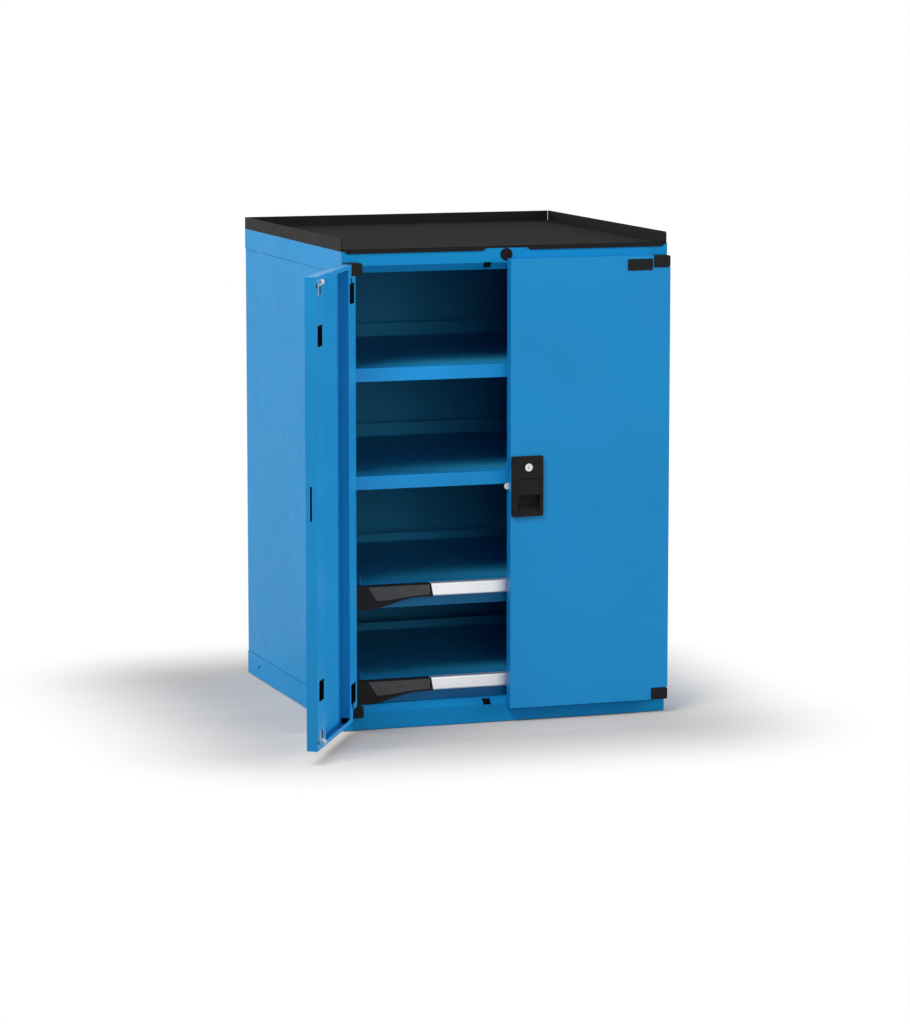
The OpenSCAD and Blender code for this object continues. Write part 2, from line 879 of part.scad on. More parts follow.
module pullout_bar(z) {
    low = bar_z0(z) - cut;
    high = bar_z1(z) + cut;
    end = bar_x0 - seam_slant - cut;
    difference() {
        along_x(end, bar_x1) difference() {
            bar_section(z, 0);
            bar_section(z, bar_t);
        }
        along_y(0, bar_front + bar_d + cut)
            polygon([[end - cut, low], [seam_x(z, low), low], [seam_x(z, high), high],
                     [end - cut, high]]);
    }
}

// an ease from 1 to 0 over the given length
function ease(x, length) = (1 + cos(180 * x / length)) / 2;
curve_steps = 12;
corner_steps = 4;

module cap_outline(z) {
    low = bar_z0(z);
    middle = [seam_x(z, bar_z1(z) - cap_r) - cap_r / cos(seam_angle), bar_z1(z) - cap_r];
    polygon(concat(
        [[cap_x, bar_z1(z)], [cap_x, low - cap_drop + cap_chamfer],
         [cap_x + cap_chamfer, low - cap_drop]],
        [for (i = [0:curve_steps])
            let (x = cap_curve * i / curve_steps)
            [cap_x + cap_flat + x, low - cap_drop * ease(x, cap_curve)]],
        [[bar_x0, low]],
        [for (i = [0:corner_steps])
            let (a = seam_angle + (90 - seam_angle) * i / corner_steps)
            middle + cap_r * [cos(a), sin(a)]]));
}

lever_x = bar_x0 - lever_end;
lever_y = bar_front + lever_t / 2;

// front view of the lever, grown by a gap for its recess
module lever_outline(z, gap) {
    x0 = cap_x + lever_in;
    x1 = x0 + lever_slant;
    low = bar_z0(z) + lever_rise - gap;
    fall = lever_rise + lever_drop;
    curve = lever_x - x1 - fall;
    polygon(concat(
        [[x0 - gap, bar_z1(z) - lever_border + gap]],
        [for (i = [0:curve_steps])
            let (x = curve * i / curve_steps)
            [x1 - gap + x, low - fall * ease(x, curve)]],
        [[lever_x, low], [lever_x, bar_z1(z) - lever_border + gap]]));
}

module lever_pivot(z, r, over) {
    translate([lever_x, lever_y, bar_z0(z) + lever_rise - over])
        cylinder(h = bar_h - lever_border - lever_rise + 2 * over, r = r);
}

module pullout_cap_left(z) {
    difference() {
        along_y(bar_front, bar_front + bar_d) cap_outline(z);
        along_y(bar_front - cut, bar_front + lever_t + lever_travel)
            lever_outline(z, lever_gap);
        translate([0, -cut, 0]) lever_pivot(z, lever_t / 2 + lever_gap, lever_gap);
        lever_pivot(z, lever_t / 2 + lever_gap, lever_gap);
        lever_pivot(z, lever_pin_r + run_gap, lever_pin_l + run_gap);
    }
}

// its right end turns in the cap on two moulded pivots
module pullout_lever(z) {
    along_y(bar_front, bar_front + lever_t) lever_outline(z, 0);
    lever_pivot(z, lever_t / 2, 0);
    lever_pivot(z, lever_pin_r, lever_pin_l);
}

module pullout_cap_right(z) {
    along_y(bar_front, bar_front + bar_d)
        polygon([[bar_x1, bar_z0(z)],
                 [bar_x1 + cap_right_l - cap_right_slope, bar_z0(z)],
                 [bar_x1 + cap_right_l, bar_z1(z)], [bar_x1, bar_z1(z)]]);
}

module pullout_upper_tray() {
    placed("steelblue") pullout_tray(pull_upper_z);
}

module pullout_lower_tray() {
    placed("steelblue") pullout_tray(pull_lower_z);
}

module pullout_upper_bar() {
    placed("silver") pullout_bar(pull_upper_z);
}

module pullout_lower_bar() {
    placed("silver") pullout_bar(pull_lower_z);
}

module pullout_upper_cap_left() {
    placed("dimgray") pullout_cap_left(pull_upper_z);
}

module pullout_lower_cap_left() {
    placed("dimgray") pullout_cap_left(pull_lower_z);
}

module pullout_upper_cap_right() {
    placed("dimgray") pullout_cap_right(pull_upper_z);
}

module pullout_lower_cap_right() {
    placed("dimgray") pullout_cap_right(pull_lower_z);
}

module pullout_upper_lever() {
    placed("gray") pullout_lever(pull_upper_z);
}

module pullout_lower_lever() {
    placed("gray") pullout_lever(pull_lower_z);
}

module pullout_upper_slide_middle() {
    placed("silver") slide_middle(pull_upper_z);
}

module pullout_lower_slide_middle() {
    placed("silver") slide_middle(pull_lower_z);
}

module pullout_upper_slide_inner() {
    placed("silver") slide_inner(pull_upper_z);
}

module pullout_lower_slide_inner() {
    placed("silver") slide_inner(pull_lower_z);
}

// ---- hinges ----

module hinge_block() {
    difference() {
        along_y(-block_d, 0)
            rounded([block_in, block_bottom], [block_w, door_z1], block_r);
        translate([pin_in, -pin_out, block_bottom - cut])
            cylinder(h = pin_in_block + cut, r = pin_r + run_gap);
        for (x = screw_x)
            translate([x, cut, block_bottom + block_h / 2]) rotate([90, 0, 0])
                cylinder(h = screw_l + cut, r = screw_r + run_gap);
    }
}

module hinge_block_left_top() {
    placed("dimgray") hinge_block();
}

module hinge_block_left_bottom() {
    placed("dimgray") at_bottom() hinge_block();
}

module hinge_block_right_top() {
    placed("dimgray") mirrored() hinge_block();
}

module hinge_block_right_bottom() {
    placed("dimgray") mirrored() at_bottom() hinge_block();
}

module hinge_pins() {
    placed("silver") both_sides() both_ends()
        translate([pin_in, -pin_out, bush_top - pin_in_door])
        cylinder(h = block_bottom + pin_in_block - bush_top + pin_in_door, r = pin_r);
}

// driven from inside the frame, so that no head shows
module hinge_block_screws() {
    placed("silver") both_sides() both_ends() for (x = screw_x)
        translate([x, frame_t, block_bottom + block_h / 2]) rotate([90, 0, 0]) {
            cylinder(h = screw_l + frame_t, r = screw_r);
            translate([0, 0, -screw_head_t]) cylinder(h = screw_head_t, r = screw_head_r);
        }
}

// ---- doors, as a closed left door ----

// door outline with the two hinge notches, drawn in by an inset
function door_outline(inset) = [
    [notch_x + inset, door_z0 + inset], [door_x1 - inset, door_z0 + inset],
    [door_x1 - inset, door_z1 - inset], [notch_x + inset, door_z1 - inset],
    [notch_x + inset, notch_z1 - inset], [door_x0 + inset, notch_z1 - inset],
    [door_x0 + inset, notch_z0 + inset], [notch_x + inset, notch_z0 + inset]];

module edge_slot() {
    middle = -hook_y;
    along_x(door_x1 - lock_channel_w / 2, door_x1 + cut)
        rounded([middle - edge_slot_w / 2, lock_z - edge_slot_low],
                [middle + edge_slot_w / 2, lock_z + edge_slot_high],
                edge_slot_w / 2 - run_gap);
}

module door_skin() {
    difference() {
        union() {
            along_y(door_out, skin_in) polygon(door_outline(0));
            along_y(door_out, door_in) difference() {
                polygon(door_outline(0));
                polygon(door_outline(door_t));
            }
            both_ends() box([hinge_channel_x, door_in - door_t, door_z1 - door_lip],
                            [lock_channel_x, door_in, door_z1]);
        }
        both_ends() translate([pin_in, -pin_out, notch_z1 - 2 * door_t])
            cylinder(h = 4 * door_t, r = pin_r + 4 * run_gap);
        edge_slot();
    }
}

module window(x, z) {
    along_y(skin_in + cut, cut)
        rounded([x - window_w / 2, z - window_w / 2], [x + window_w / 2, z + window_w / 2],
                window_r);
}

module hinge_channel() {
    middle = (door_x0 + hinge_channel_x) / 2;
    difference() {
        along_z(channel_z0, channel_z1)
            polygon(folded([[door_x0 + door_t, door_in], [hinge_channel_x, door_in],
                            [hinge_channel_x, skin_in + door_t],
                            [hinge_channel_x + channel_foot, skin_in + door_t]],
                           -door_t));
        both_ends() {
            box([0, door_out, bush_top], [notch_x + door_t, 0, door_z1]);
            window(middle, door_z1 - hinge_window_in);
            box([notch_x - small_hole / 2, door_in - 2 * door_t, bush_top - door_t - small_hole],
                [notch_x + small_hole / 2, 0, bush_top - door_t]);
            box([hinge_channel_x - 2 * door_t, skin_in + 2 * door_t, channel_z1 - end_hole],
                [hinge_channel_x + cut, door_in - 2 * door_t, door_z1]);
        }
    }
}

module lock_channel() {
    difference() {
        along_z(channel_z0, channel_z1)
            polygon(folded([[door_x1 - door_t, door_in], [lock_channel_x, door_in],
                            [lock_channel_x, skin_in + door_t],
                            [lock_channel_x - channel_foot, skin_in + door_t]],
                           door_t));
        both_ends()
            window((lock_channel_x + door_x1) / 2, door_z1 - lock_window_in);
    }
}

// a moulded corner piece under the notch, bored for the hinge pin
module door_bushes() {
    x0 = door_x0 + door_t;
    both_ends() difference() {
        box([x0, skin_in, bush_top - bush_l], [x0 + bush_w, skin_in + bush_d, bush_top]);
        translate([pin_in, -pin_out, bush_top - bush_l - cut])
            cylinder(h = bush_l + 2 * cut, r = pin_r + run_gap);
    }
}

module left_door_skin() {
    on_left_door("cornflowerblue") door_skin();
}

module left_hinge_channel() {
    on_left_door("cornflowerblue") hinge_channel();
}

// the free side channel with the openings that the rollers turn in
module left_lock_channel() {
    on_left_door("cornflowerblue") difference() {
        lock_channel();
        both_ends()
            box([catch_x - ear_x, door_in - 2 * door_t, roller_z - roller_r - keeper_gap],
                [catch_x + ear_x, 0, roller_z + roller_r + keeper_gap]);
    }
}

module left_door_bushes() {
    on_left_door("dimgray") door_bushes();
}

// ---- catches ----

module catch_springs() {
    outer = ear_x + spring_t;
    tail_top = roller_z - roller_r - 2 * keeper_gap;
    on_left_door("silver") both_ends() difference() {
        union() {
            box([catch_x - outer, door_in, tail_top - spring_tail],
                [catch_x + outer, door_in + spring_t, tail_top]);
            for (x = [catch_x - outer, catch_x + ear_x])
                box([x, door_in, roller_z + roller_r - cut - ear_h],
                    [x + spring_t, ear_in, roller_z + roller_r - cut]);
        }
        translate([catch_x, roller_in, roller_z]) rotate([0, 90, 0])
            cylinder(h = 4 * outer, r = axle_r, center = true);
    }
}

module catch_axles() {
    on_left_door("silver") both_ends()
        translate([catch_x, roller_in, roller_z]) rotate([0, 90, 0])
        cylinder(h = 2 * (ear_x + spring_t), r = axle_r, center = true);
}

module catch_roller() {
    translate([catch_x, roller_in, roller_z]) rotate([0, 90, 0]) difference() {
        cylinder(h = roller_l, r = roller_r, center = true);
        cylinder(h = roller_l + 2 * cut, r = axle_r + run_gap, center = true);
    }
}

module catch_roller_top() {
    on_left_door("white") catch_roller();
}

module catch_roller_bottom() {
    on_left_door("white") at_bottom() catch_roller();
}

// ---- right door and its lock ----

// the housing's pocket and the tube of the key barrel, grown by a gap
module housing_back(gap) {
    along_y(door_out, pocket_back + pocket_t)
        translate([pocket_x - pocket_t - gap, lock_z - pocket_low - pocket_t - gap])
        square([pocket_w + 2 * (pocket_t + gap),
                pocket_low + paddle_high + 2 * (pocket_t + gap) + paddle_gap]);
    translate([key_x, face_y, key_z]) rotate([-90, 0, 0])
        cylinder(h = pocket_d, r = key_ring_r + gap);
}

module right_door_skin() {
    placed("cornflowerblue") difference() {
        mirrored() door_skin();
        translate([0, -cut, 0]) housing_back(paddle_gap);
    }
}

module right_hinge_channel() {
    placed("cornflowerblue") mirrored() hinge_channel();
}

module right_lock_channel() {
    placed("cornflowerblue") mirrored() lock_channel();
}

module right_door_bushes() {
    placed("dimgray") mirrored() door_bushes();
}

module lock_housing() {
    placed("dimgray") difference() {
        union() {
            along_y(face_y, door_out)
                rounded([housing_x, lock_z - housing_low],
                        [housing_x + housing_w, lock_z + housing_high], housing_r);
            housing_back(0);
        }
        // finger pocket, with the room that the paddle swings in
        along_x(pocket_x, pocket_x + pocket_w)
            polygon([[face_y - cut, lock_z - pocket_low],
                     [pocket_back, lock_z - pocket_low + pocket_slope],
                     [pocket_back, lock_z + paddle_high + paddle_gap],
                     [face_y - cut, lock_z + paddle_high + paddle_gap]]);
        translate([key_x, face_y - cut, key_z]) rotate([-90, 0, 0])
            cylinder(h = pocket_d + 2 * cut, r = key_r + run_gap);
        translate([pocket_x + pocket_w / 2, paddle_y, paddle_z]) rotate([0, 90, 0])
            cylinder(h = pocket_w + 2 * paddle_pin_l, r = paddle_pin_r, center = true);
    }
}

module paddle_pin() {
    placed("silver") translate([pocket_x + pocket_w / 2, paddle_y, paddle_z])
        rotate([0, 90, 0])
        cylinder(h = pocket_w + 2 * paddle_pin_l, r = paddle_pin_r, center = true);
}

// a round back at the hinge, thinning to a blade with a finger edge
module paddle() {
    x0 = pocket_x + paddle_gap;
    x1 = x0 + paddle_w;
    low = lock_z - paddle_low;
    placed("dimgray") difference() {
        union() {
            along_x(x0, x1) translate([paddle_y, paddle_z]) circle(paddle_r);
            along_x(x0, x1)
                polygon([[face_y, paddle_z], [paddle_y + paddle_r, paddle_z],
                         [paddle_y + paddle_r, paddle_z - paddle_r],
                         [face_y + blade_t, paddle_z - 3 * paddle_r],
                         [face_y + blade_t, low + blade_t],
                         [face_y + 2 * blade_t, low], [face_y, low]]);
        }
        translate([pocket_x + pocket_w / 2, paddle_y, paddle_z]) rotate([0, 90, 0])
            cylinder(h = pocket_w, r = paddle_pin_r + run_gap, center = true);
    }
}

module key_barrel() {
    placed("silver") translate([key_x, face_y - key_out, key_z]) rotate([-90, 0, 0])
        difference() {
            cylinder(h = key_l, r = key_r);
            cube([key_slot_w, key_slot_h, 2 * key_slot_d], center = true);
        }
}

// a tongue whose nose passes through both doors' edge slots
module latch_hook() {
    placed("silver") along_y(-hook_y - hook_plate_t / 2, -hook_y + hook_plate_t / 2)
        difference() {
            union() {
                translate([nose_x, lock_z]) circle(nose_r);
                translate([nose_x, lock_z - nose_r]) square([hook_x - nose_x, 2 * nose_r]);
                translate([hook_x, lock_z]) circle(hook_boss_r);
            }
            translate([hook_x, lock_z]) circle(hook_pin_r + run_gap);
        }
}

module hook_pivot() {
    placed("silver") translate([hook_x, pocket_back + pocket_t, lock_z])
        rotate([-90, 0, 0])
        cylinder(h = case_y - pocket_back - pocket_t, r = hook_pin_r);
}

// a folded plate behind the hook, its legs on the door's skin
module lock_case() {
    x0 = free_x + case_in;
    x1 = x0 + case_w;
    z1 = lock_z + case_high;
    placed("silver") {
        box([x0, case_y, lock_z - case_low], [x1, case_y + case_t, z1]);
        box([x1 - case_t, skin_in, lock_z - case_low], [x1, case_y + case_t, z1]);
        box([x0, skin_in, z1 - case_t], [x1, case_y + case_t, z1]);
    }
}

// ---- nodes ----

base_frame();
levelling_feet();
bottom_panel();
left_side_panel();
right_side_panel();
back_panel();
left_front_post();
right_front_post();
top_frame();
top_panel();
top_tray();
tray_mat();
lock_hole_plug();
rack_rails();
shelf_upper();
shelf_lower();
shelf_hooks();
hinge_block_left_top();
hinge_block_left_bottom();
hinge_block_right_top();
hinge_block_right_bottom();
hinge_pins();
hinge_block_screws();
slide_outer_upper();
slide_outer_lower();
left_door_skin();
left_hinge_channel();
left_lock_channel();
left_door_bushes();
catch_springs();
catch_axles();
catch_roller_top();
catch_roller_bottom();
right_door_skin();
right_hinge_channel();
right_lock_channel();
right_door_bushes();
lock_housing();
lock_case();
hook_pivot();
paddle_pin();
paddle();
key_barrel();
latch_hook();
pullout_upper_tray();
pullout_upper_bar();
pullout_upper_cap_left();
pullout_upper_cap_right();
pullout_upper_lever();
pullout_upper_slide_middle();
pullout_upper_slide_inner();
pullout_lower_tray();
pullout_lower_bar();
pullout_lower_cap_left();
pullout_lower_cap_right();
pullout_lower_lever();
pullout_lower_slide_middle();
pullout_lower_slide_inner();
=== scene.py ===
"""Finishes, small parts, light and camera for the tool cabinet.

Metres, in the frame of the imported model: the origin is the middle of the
footprint on the floor, -Y is the front and +Z is up. Lists of sizes that say
mm are turned into metres by MM where they are used.
"""
import json
import math

import bmesh
import bpy
from mathutils import Matrix, Vector


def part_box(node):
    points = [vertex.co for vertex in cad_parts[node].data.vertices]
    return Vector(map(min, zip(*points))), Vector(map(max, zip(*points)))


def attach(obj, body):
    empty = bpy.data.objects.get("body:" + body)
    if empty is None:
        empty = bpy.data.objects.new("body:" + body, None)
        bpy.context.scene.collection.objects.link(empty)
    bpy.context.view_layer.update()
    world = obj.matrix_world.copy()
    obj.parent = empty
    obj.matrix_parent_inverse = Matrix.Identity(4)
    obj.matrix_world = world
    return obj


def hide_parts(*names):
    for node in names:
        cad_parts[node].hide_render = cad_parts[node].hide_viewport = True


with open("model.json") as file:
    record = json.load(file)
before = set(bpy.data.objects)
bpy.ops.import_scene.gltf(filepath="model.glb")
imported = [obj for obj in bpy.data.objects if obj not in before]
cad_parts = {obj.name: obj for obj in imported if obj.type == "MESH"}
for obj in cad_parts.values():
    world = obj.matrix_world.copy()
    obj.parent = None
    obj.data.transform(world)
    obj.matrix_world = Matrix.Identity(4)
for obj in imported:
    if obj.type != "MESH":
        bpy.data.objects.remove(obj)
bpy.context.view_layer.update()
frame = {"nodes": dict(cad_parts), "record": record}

MM = 0.001
X, Y, Z = range(3)


# ---- shader maths ----

class Signal:
    """A socket inside a finish. Maths on it adds Math nodes."""

    def __init__(self, finish, socket):
        self.finish = finish
        self.socket = socket

    def maths(self, operation, *others):
        return self.finish.add("ShaderNodeMath", {"operation": operation}, (self, *others))

    def __add__(self, other):
        return self.maths("ADD", other)

    def __mul__(self, other):
        return self.maths("MULTIPLY", other)

    # sum() adds to 0, and a mask may start as a plain 1.
    __radd__ = __add__
    __rmul__ = __mul__


# The colour sockets of a Mix node, which share their names with its other sockets.
MIX_FACTOR, MIX_FIRST, MIX_SECOND, MIX_RESULT = 0, 6, 7, 2
# Nearly all of a noise lies in this range.
NOISE_RANGE = (0.3, 0.7)


class Finish:
    """The shader nodes of a material or of the world."""

    def __init__(self, owner):
        self.owner = owner
        owner.use_nodes = True
        self.tree = owner.node_tree
        self.tree.nodes.clear()
        self.place = self.add("ShaderNodeTexCoord", {}, {}, "Object")

    def add(self, kind, settings, inputs, output=0):
        """Adds a node: its settings first, then the values or links of its sockets."""
        node = self.tree.nodes.new(kind)
        for key, value in settings.items():
            setattr(node, key, value)
        pairs = inputs.items() if isinstance(inputs, dict) else enumerate(inputs)
        for key, value in pairs:
            socket = node.inputs[key]
            if isinstance(value, Signal):
                self.tree.links.new(value.socket, socket)
            else:
                socket.default_value = value
        return Signal(self, node.outputs[output]) if len(node.outputs) else None

    def noise(self, scale, detail, where=None):
        """Cloudy noise, its scale in cells per metre."""
        return self.add("ShaderNodeTexNoise", {},
                        {"Vector": where or self.place, "Scale": scale, "Detail": detail})

    def streaks(self, scales, detail):
        """Noise with a scale of its own along each axis."""
        stretched = self.add("ShaderNodeMapping", {}, {"Vector": self.place, "Scale": scales})
        return self.noise(1.0, detail, stretched)

    def between(self, value, low, high, to_low=0.0, to_high=1.0, curve="LINEAR"):
        return self.add("ShaderNodeMapRange", {"interpolation_type": curve},
                        [value, low, high, to_low, to_high])

    def spread(self, noise, to_low=0.0, to_high=1.0):
        """Stretches a noise over a whole range."""
        return self.between(noise, *NOISE_RANGE, to_low, to_high)

    def blend(self, factor, first, second):
        return self.add("ShaderNodeMix", {"data_type": "RGBA"},
                        {MIX_FACTOR: factor, MIX_FIRST: first, MIX_SECOND: second},
                        MIX_RESULT)

    def shades(self, factor, colour, darkest, lightest):
        """The colour, made darker where the factor is 0 and lighter where it is 1."""
        return self.blend(factor, tone(colour, darkest), tone(colour, lightest))

    def vector(self, operation, *values, output="Vector"):
        return self.add("ShaderNodeVectorMath", {"operation": operation}, values, output)

    def along(self, place, axis):
        """One coordinate of a place."""
        return self.add("ShaderNodeSeparateXYZ", {}, [place], axis)

    def bump(self, height, strength, depth):
        return self.add("ShaderNodeBump", {},
                        {"Height": height, "Strength": strength, "Distance": depth})

    def surface(self, **sockets):
        """Closes the finish with a Principled shader, sockets named in small letters."""
        names = {key.replace("_", " ").title().replace("Ior", "IOR"): value
                 for key, value in sockets.items()}
        shader = self.add("ShaderNodeBsdfPrincipled", {}, names)
        self.add("ShaderNodeOutputMaterial", {}, {"Surface": shader})
        return self.owner


def grey(level):
    return (level, level, level, 1)


def tone(colour, factor):
    """The colour times a factor, no channel above white."""
    return tuple(min(1, part * factor) for part in colour) + (1,)


# ---- where a coat changes ----

# Between these depths along Y the paint turns into a lighter, greener blue: painted light, for
# the light that bounces deep inside.
DEEP_INSIDE = (-0.330, -0.270)
# Behind this depth the back panel shows its outside.
BACK_SKIN = 359.7 * MM
# In front of this depth lies the front face of a pull-out shelf, darkened as painted shade of
# its bar.
PULLOUT_FACE = -333.6 * MM

# The left door's pin and how far it stands open.
HINGE_PIN = (-352.5 * MM, -381.0 * MM)
DOOR_OPEN = math.radians(120)
# The hollows of the shut left door's two channels, painted near black as painted shade: their
# widths, then what they share.
HINGE_CHANNEL = (-356.4 * MM, -292.1 * MM)
LOCK_CHANNEL = (-71.9 * MM, -2.1 * MM)
CHANNEL_HOLLOW = ((Y, -385.9 * MM, -364.6 * MM), (Z, 30.6 * MM, 975.4 * MM))

# Small holes and dents in both sides, painted as dark spots for their shade: Y, Z and radius
# in mm, and darkness.
SIDE_PITS = ((272.0, 25.9, 3.1, 0.95), (277.0, 25.9, 3.1, 0.95), (318.0, 43.0, 1.8, 0.16),
             (300.0, 34.0, 2.2, 0.16), (331.0, 12.0, 2.0, 0.3), (310.5, 926.0, 1.6, 0.25))
SIDE_SKIN = 358.5 * MM
PIT_EDGE = 0.3 * MM

# A dark line round the paddle, painted shade of the gap, reaches this far beyond it.
GAP_SHADE_WIDTH = 1.2 * MM
GAP_SHADE_DARKNESS = 0.75
GAP_SHADE_GREY = 0.001


def within(finish, place, spans):
    """1 where the place lies in every span: its axis, low end and high end."""
    mask = 1.0
    for axis, low, high in spans:
        part = finish.along(place, axis)
        mask = mask * part.maths("GREATER_THAN", low) * part.maths("LESS_THAN", high)
    return mask


def near_pit(finish, y, z, radius):
    """1 inside a pit of the right side and inside its twin on the left side."""
    reach = [finish.vector("DISTANCE", finish.place, (side, y, z), output="Value")
             for side in (SIDE_SKIN, -SIDE_SKIN)]
    return finish.between(reach[0].maths("MINIMUM", reach[1]),
                          radius + PIT_EDGE, radius - PIT_EDGE)


def closing_move():
    """Where the origin goes when the open left door turns shut about its hinge pin."""
    x, y = HINGE_PIN
    turn, side = math.cos(DOOR_OPEN), math.sin(DOOR_OPEN)
    return (x - turn * x + side * y, y - side * x - turn * y, 0)


def gap_shade_round(name):
    """The spans along X and Z of a node and of the painted gap shade round it."""
    low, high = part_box(name)
    return [(axis, low[axis] - GAP_SHADE_WIDTH, high[axis] + GAP_SHADE_WIDTH) for axis in (X, Z)]


# ---- finishes ----

# Scales of patterns, in cells per metre.
PAINT_CLOUDS = 3.2
PAINT_FLECKS = 1500
PAINT_GLOSS = 26
FINE_PEEL = 620
COARSE_PEEL = 190
PLASTIC_CELLS = 1400.0
PLASTIC_GRIT = 2600
PLASTIC_SHADE = 60
PLASTIC_GLOSS = 90
RUBBER_DUST = 300
RUBBER_SHADE = 9
DIE_LINES = (2.0, 1400.0, 1400.0)
DIE_BANDS = (1.0, 260.0, 260.0)
ZINC_SPANGLE = 110.0
ZINC_GRAIN = 900
TURNED_LINES = (900.0, 900.0, 4000.0)

# What part of a noise shows as clouds and as flecks, how much the flecks show, and how
# much brighter than the paint they are.
CLOUD_RANGE = (0.35, 0.65)
FLECK_RANGE = (0.62, 0.78)
FLECK_SHARE = 0.05
FLECK_TONE = 1.35
# The ribs' waves are cut off flat at this height; their crests are painted paler, a painted
# highlight.
RIB_CREST = 0.6
RIB_CREST_HIGHLIGHT = 0.22
CREST_HIGHLIGHT_TONE = 1.5

# Depths of bumps.
PEEL_DEPTH = 0.3 * MM
GRAIN_DEPTH = 0.25 * MM
RIB_DEPTH = 0.6 * MM
LINE_DEPTH = 0.1 * MM


def powder_coat(name, colour, rough=0.40, peel=0.10, shine=0.25, deep=None, front=None,
                door=None, pits=()):
    """Sprayed and baked paint: faint orange peel, a little unevenness in colour and gloss.

    deep is a lighter, greener colour painted deep inside: painted light, for the light that
    bounces in there.
    front is a darker colour for a pull-out shelf's front face, below its bar: painted shade of
    the bar.
    door is the turn and move that take a point of a door to the closed left door, whose
    hollow channels get a painted shade, near black.
    pits are small holes and dents whose shade is painted as dark spots, listed as in
    SIDE_PITS.
    """
    paint = Finish(bpy.data.materials.new(name))
    cloud = paint.between(paint.noise(PAINT_CLOUDS, 3), *CLOUD_RANGE)
    fleck = paint.between(paint.noise(PAINT_FLECKS, 1), *FLECK_RANGE, to_high=FLECK_SHARE)
    depth = paint.along(paint.place, Y)
    colours = paint.shades(cloud, colour, 0.96, 1.03)
    # Painted light: deep inside, the colour turns lighter and greener.
    if deep:
        inside = paint.between(depth, *DEEP_INSIDE) * depth.maths("LESS_THAN", BACK_SKIN)
        colours = paint.blend(inside, colours, paint.shades(cloud, deep, 0.95, 1.04))
    # Painted shade: the pull-out's front face below its bar is darker.
    if front:
        face = depth.maths("LESS_THAN", PULLOUT_FACE)
        colours = paint.blend(face, colours, tone(front, 1))
    colours = paint.blend(fleck, colours, tone(colour, FLECK_TONE))
    # Painted shade: near black in the door's hollow channels.
    if door:
        closed = paint.add("ShaderNodeMapping", {}, {"Vector": paint.place, **door})
        hollow = sum(within(paint, closed, [(X, *span), *CHANNEL_HOLLOW])
                     for span in (HINGE_CHANNEL, LOCK_CHANNEL))
        colours = paint.blend(hollow, colours, tone(PAINTED_SHADE_BLACK, 1))
    # Painted shade: dark spots for the small holes and dents.
    for y, z, radius, darkness in pits:
        pit = near_pit(paint, y * MM, z * MM, radius * MM) * darkness
        colours = paint.blend(pit, colours, tone(PAINTED_SHADE_BLACK, 1))
    gloss = paint.spread(paint.noise(PAINT_GLOSS, 3), rough - 0.03, rough + 0.04)
    height = paint.noise(FINE_PEEL, 2) * 0.7 + paint.noise(COARSE_PEEL, 2) * 0.5
    return paint.surface(base_color=colours, roughness=gloss, specular_ior_level=shine,
                         normal=paint.bump(height, peel, PEEL_DEPTH))


def grained_plastic(name, colour, rough=0.5, grain=0.22, shine=0.10, gap_shade=None):
    """Moulded plastic with a fine eroded grain; the spans given for a gap are painted dark, a
    painted shade.
    """
    mould = Finish(bpy.data.materials.new(name))
    cells = mould.add("ShaderNodeTexVoronoi", {"feature": "SMOOTH_F1"},
                      {"Vector": mould.place, "Scale": PLASTIC_CELLS, "Smoothness": 0.6})
    height = cells * 0.8 + mould.noise(PLASTIC_GRIT, 2) * 0.4
    colours = mould.shades(mould.spread(mould.noise(PLASTIC_SHADE, 3)), colour, 0.9, 1.12)
    # Painted shade: a dark line in the gap round the paddle.
    if gap_shade:
        colours = mould.blend(within(mould, mould.place, gap_shade) * GAP_SHADE_DARKNESS, colours,
                              grey(GAP_SHADE_GREY))
    gloss = mould.spread(mould.noise(PLASTIC_GLOSS, 2), rough - 0.04, rough + 0.05)
    return mould.surface(base_color=colours, roughness=gloss, specular_ior_level=shine,
                         normal=mould.bump(height, grain, GRAIN_DEPTH))


def ribbed_rubber(name, colour, pitch):
    """Rubber sheet with fine ribs that run from side to side."""
    rubber = Finish(bpy.data.materials.new(name))
    turns = rubber.along(rubber.place, Y) * (2 * math.pi / pitch)
    ribs = rubber.between(turns.maths("SINE"), -RIB_CREST, RIB_CREST)
    dust = rubber.noise(RUBBER_DUST, 4)
    colours = rubber.shades(rubber.spread(rubber.noise(RUBBER_SHADE, 4)), colour, 0.92, 1.1)
    # Painted highlight: the rib crests are lighter.
    colours = rubber.blend(ribs * RIB_CREST_HIGHLIGHT, colours, tone(colour, CREST_HIGHLIGHT_TONE))
    return rubber.surface(base_color=colours, roughness=rubber.spread(dust, 0.74, 0.86),
                          specular_ior_level=0.03,
                          normal=rubber.bump(ribs * 0.7 + dust * 0.3, 0.5, RIB_DEPTH))


def drawn_aluminium(name, colour):
    """Anodised extrusion: die lines along X, satin sheen."""
    bar = Finish(bpy.data.materials.new(name))
    lines = bar.streaks(DIE_LINES, 3)
    bands = bar.streaks(DIE_BANDS, 2)
    return bar.surface(base_color=bar.shades(bar.spread(lines), colour, 0.94, 1.05),
                       roughness=bar.spread(bands, 0.34, 0.44), metallic=0.68,
                       normal=bar.bump(lines, 0.12, LINE_DEPTH))


def zinc_sheet(name, colour):
    """Galvanised sheet with its pattern of crystals."""
    sheet = Finish(bpy.data.materials.new(name))
    cells = sheet.add("ShaderNodeTexVoronoi", {},
                      {"Vector": sheet.place, "Scale": ZINC_SPANGLE}, "Color")
    spangle = sheet.add("ShaderNodeSeparateColor", {}, [cells])
    gloss = sheet.between(spangle, 0, 1, 0.34, 0.52)
    return sheet.surface(base_color=sheet.shades(spangle, colour, 0.85, 1.1),
                         roughness=gloss, metallic=0.9,
                         normal=sheet.bump(sheet.noise(ZINC_GRAIN, 2), 0.05, LINE_DEPTH))


